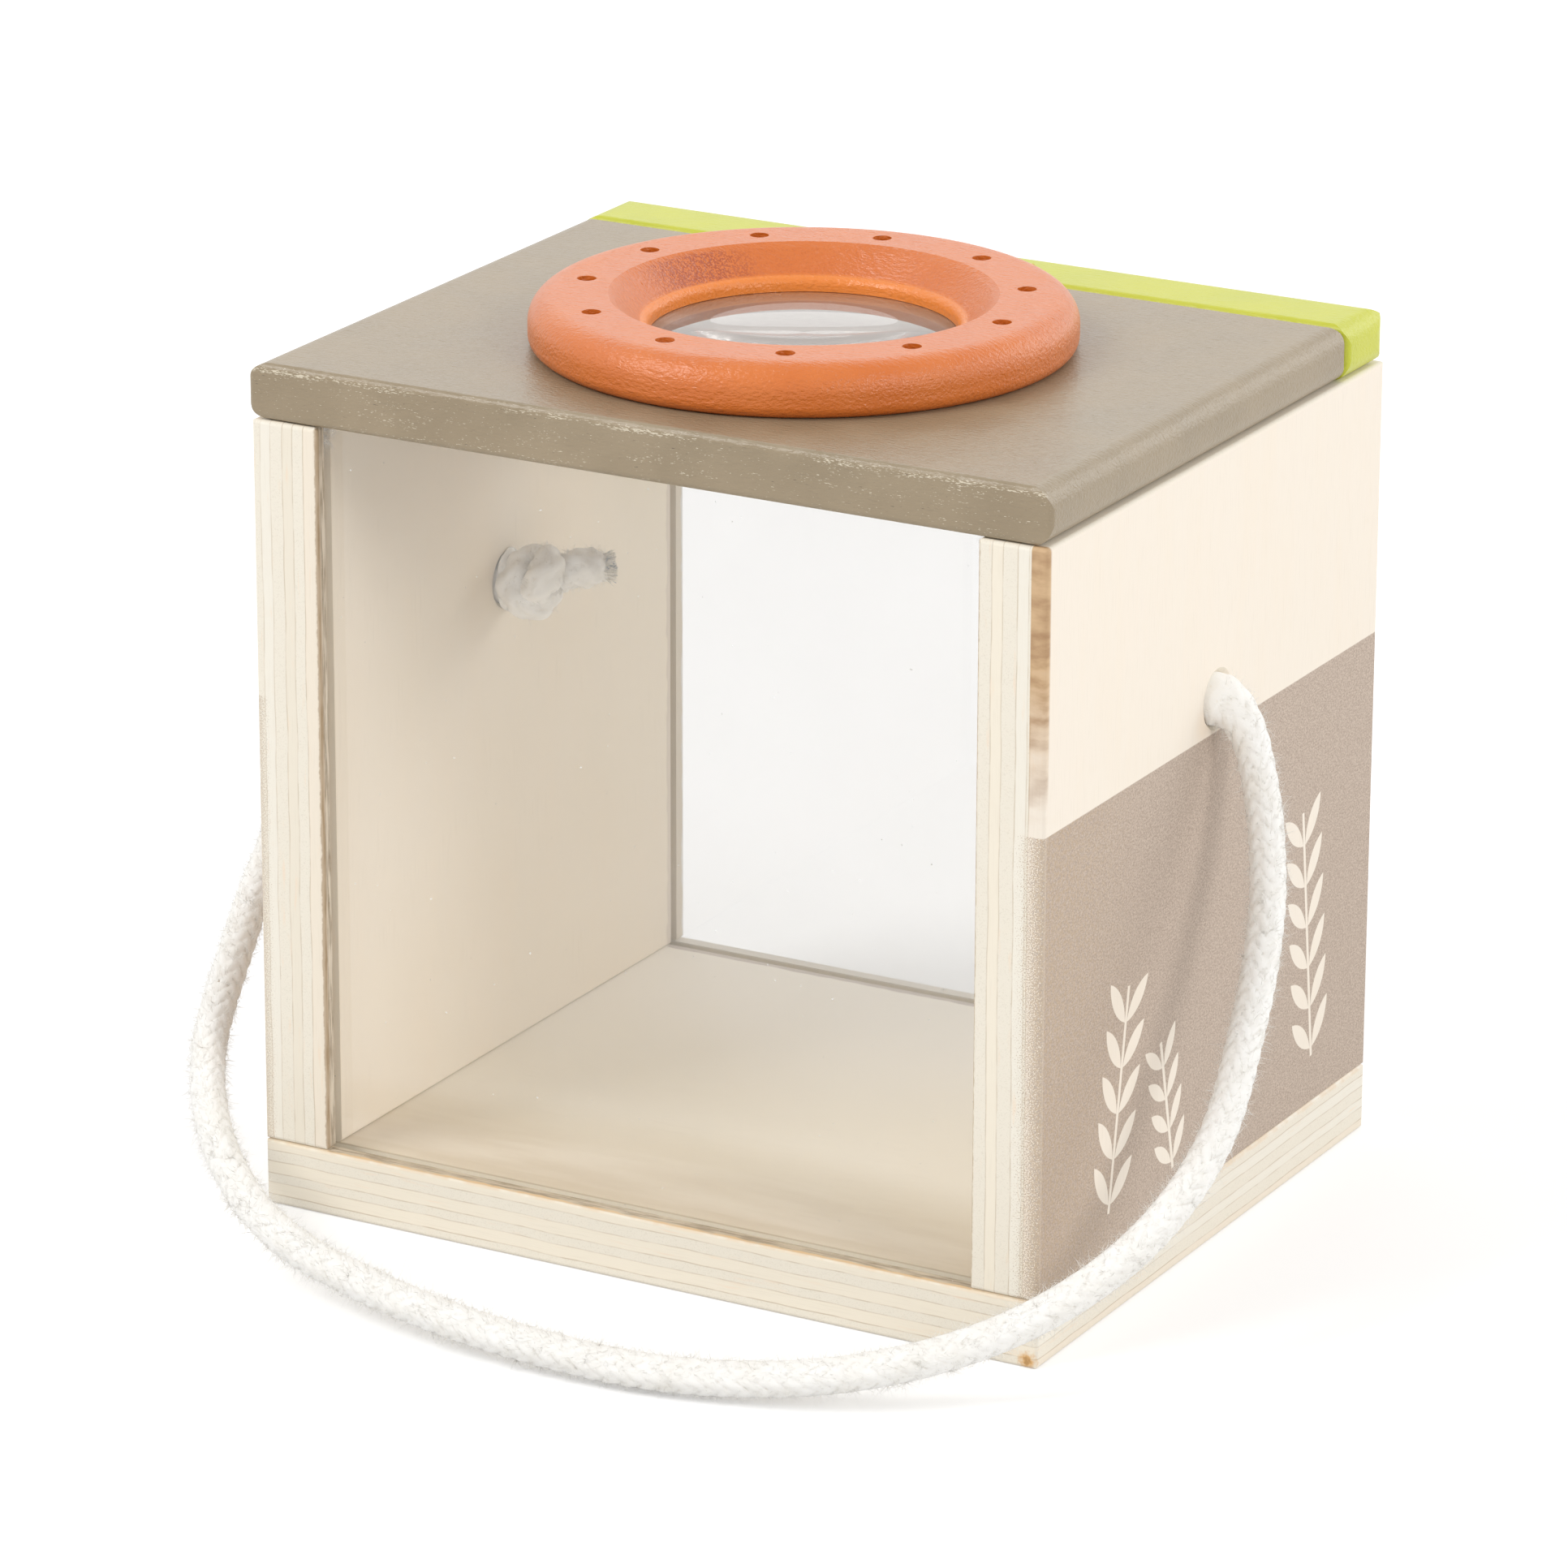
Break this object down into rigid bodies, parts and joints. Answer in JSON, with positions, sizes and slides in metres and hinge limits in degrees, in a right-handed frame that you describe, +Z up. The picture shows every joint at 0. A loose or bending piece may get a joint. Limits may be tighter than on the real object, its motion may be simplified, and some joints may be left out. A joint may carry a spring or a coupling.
{
  "type": "bug catcher box",
  "caption": "Wooden bug catcher box with clear windows, a hinged lid that holds a magnifier in a ring with air holes, and a cotton cord handle that swings over the box.",
  "frame": {"origin": "middle of the underside of the base", "axes": "+Z up, +Y to the rear where the fixed rail is, +X to the right seen from the front window"},
  "size_m": [0.1313, 0.1131, 0.1068],
  "materials": {
    "plywood": "raw sanded plywood",
    "printed_plywood": "raw plywood with a printed lower field",
    "acrylic": "clear polished sheet",
    "dowel_wood": "raw beech",
    "green_paint": "satin paint over wood",
    "brown_paint": "satin paint over wood",
    "orange_paint": "satin paint over wood",
    "lens_clear": "clear polished lens",
    "brass": "polished",
    "cotton_cord": "braided cotton"
  },
  "bodies": {
    "box": {"base_panel": "plywood", "left_side_panel": "printed_plywood", "right_side_panel": "printed_plywood", "front_window": "acrylic", "rear_window": "acrylic", "base_dowels": "dowel_wood", "hinge_rail": "green_paint", "rail_dowels": "dowel_wood", "rail_hinge_leaf": "brass", "hinge_pin": "brass", "rail_hinge_screws": "brass"},
    "lid": {"lid_panel": "brown_paint", "lens_ring": "orange_paint", "lens": "lens_clear", "lid_hinge_leaf": "brass", "lid_hinge_screws": "brass"},
    "handle": {"rope_handle": "cotton_cord", "left_knot": "cotton_cord", "right_knot": "cotton_cord"}
  },
  "joints": [
    {"name": "lid_hinge", "type": "hinge", "parent": "box", "child": "lid", "pos_m": [0, 0.031, 0.1014], "axis": [-1, 0, 0], "range_deg": [0, 145]},
    {"name": "handle_swing", "type": "hinge", "parent": "box", "child": "handle", "pos_m": [0, 0, 0.0655], "axis": [-1, 0, 0], "range_deg": [0, 265]}
  ]
}
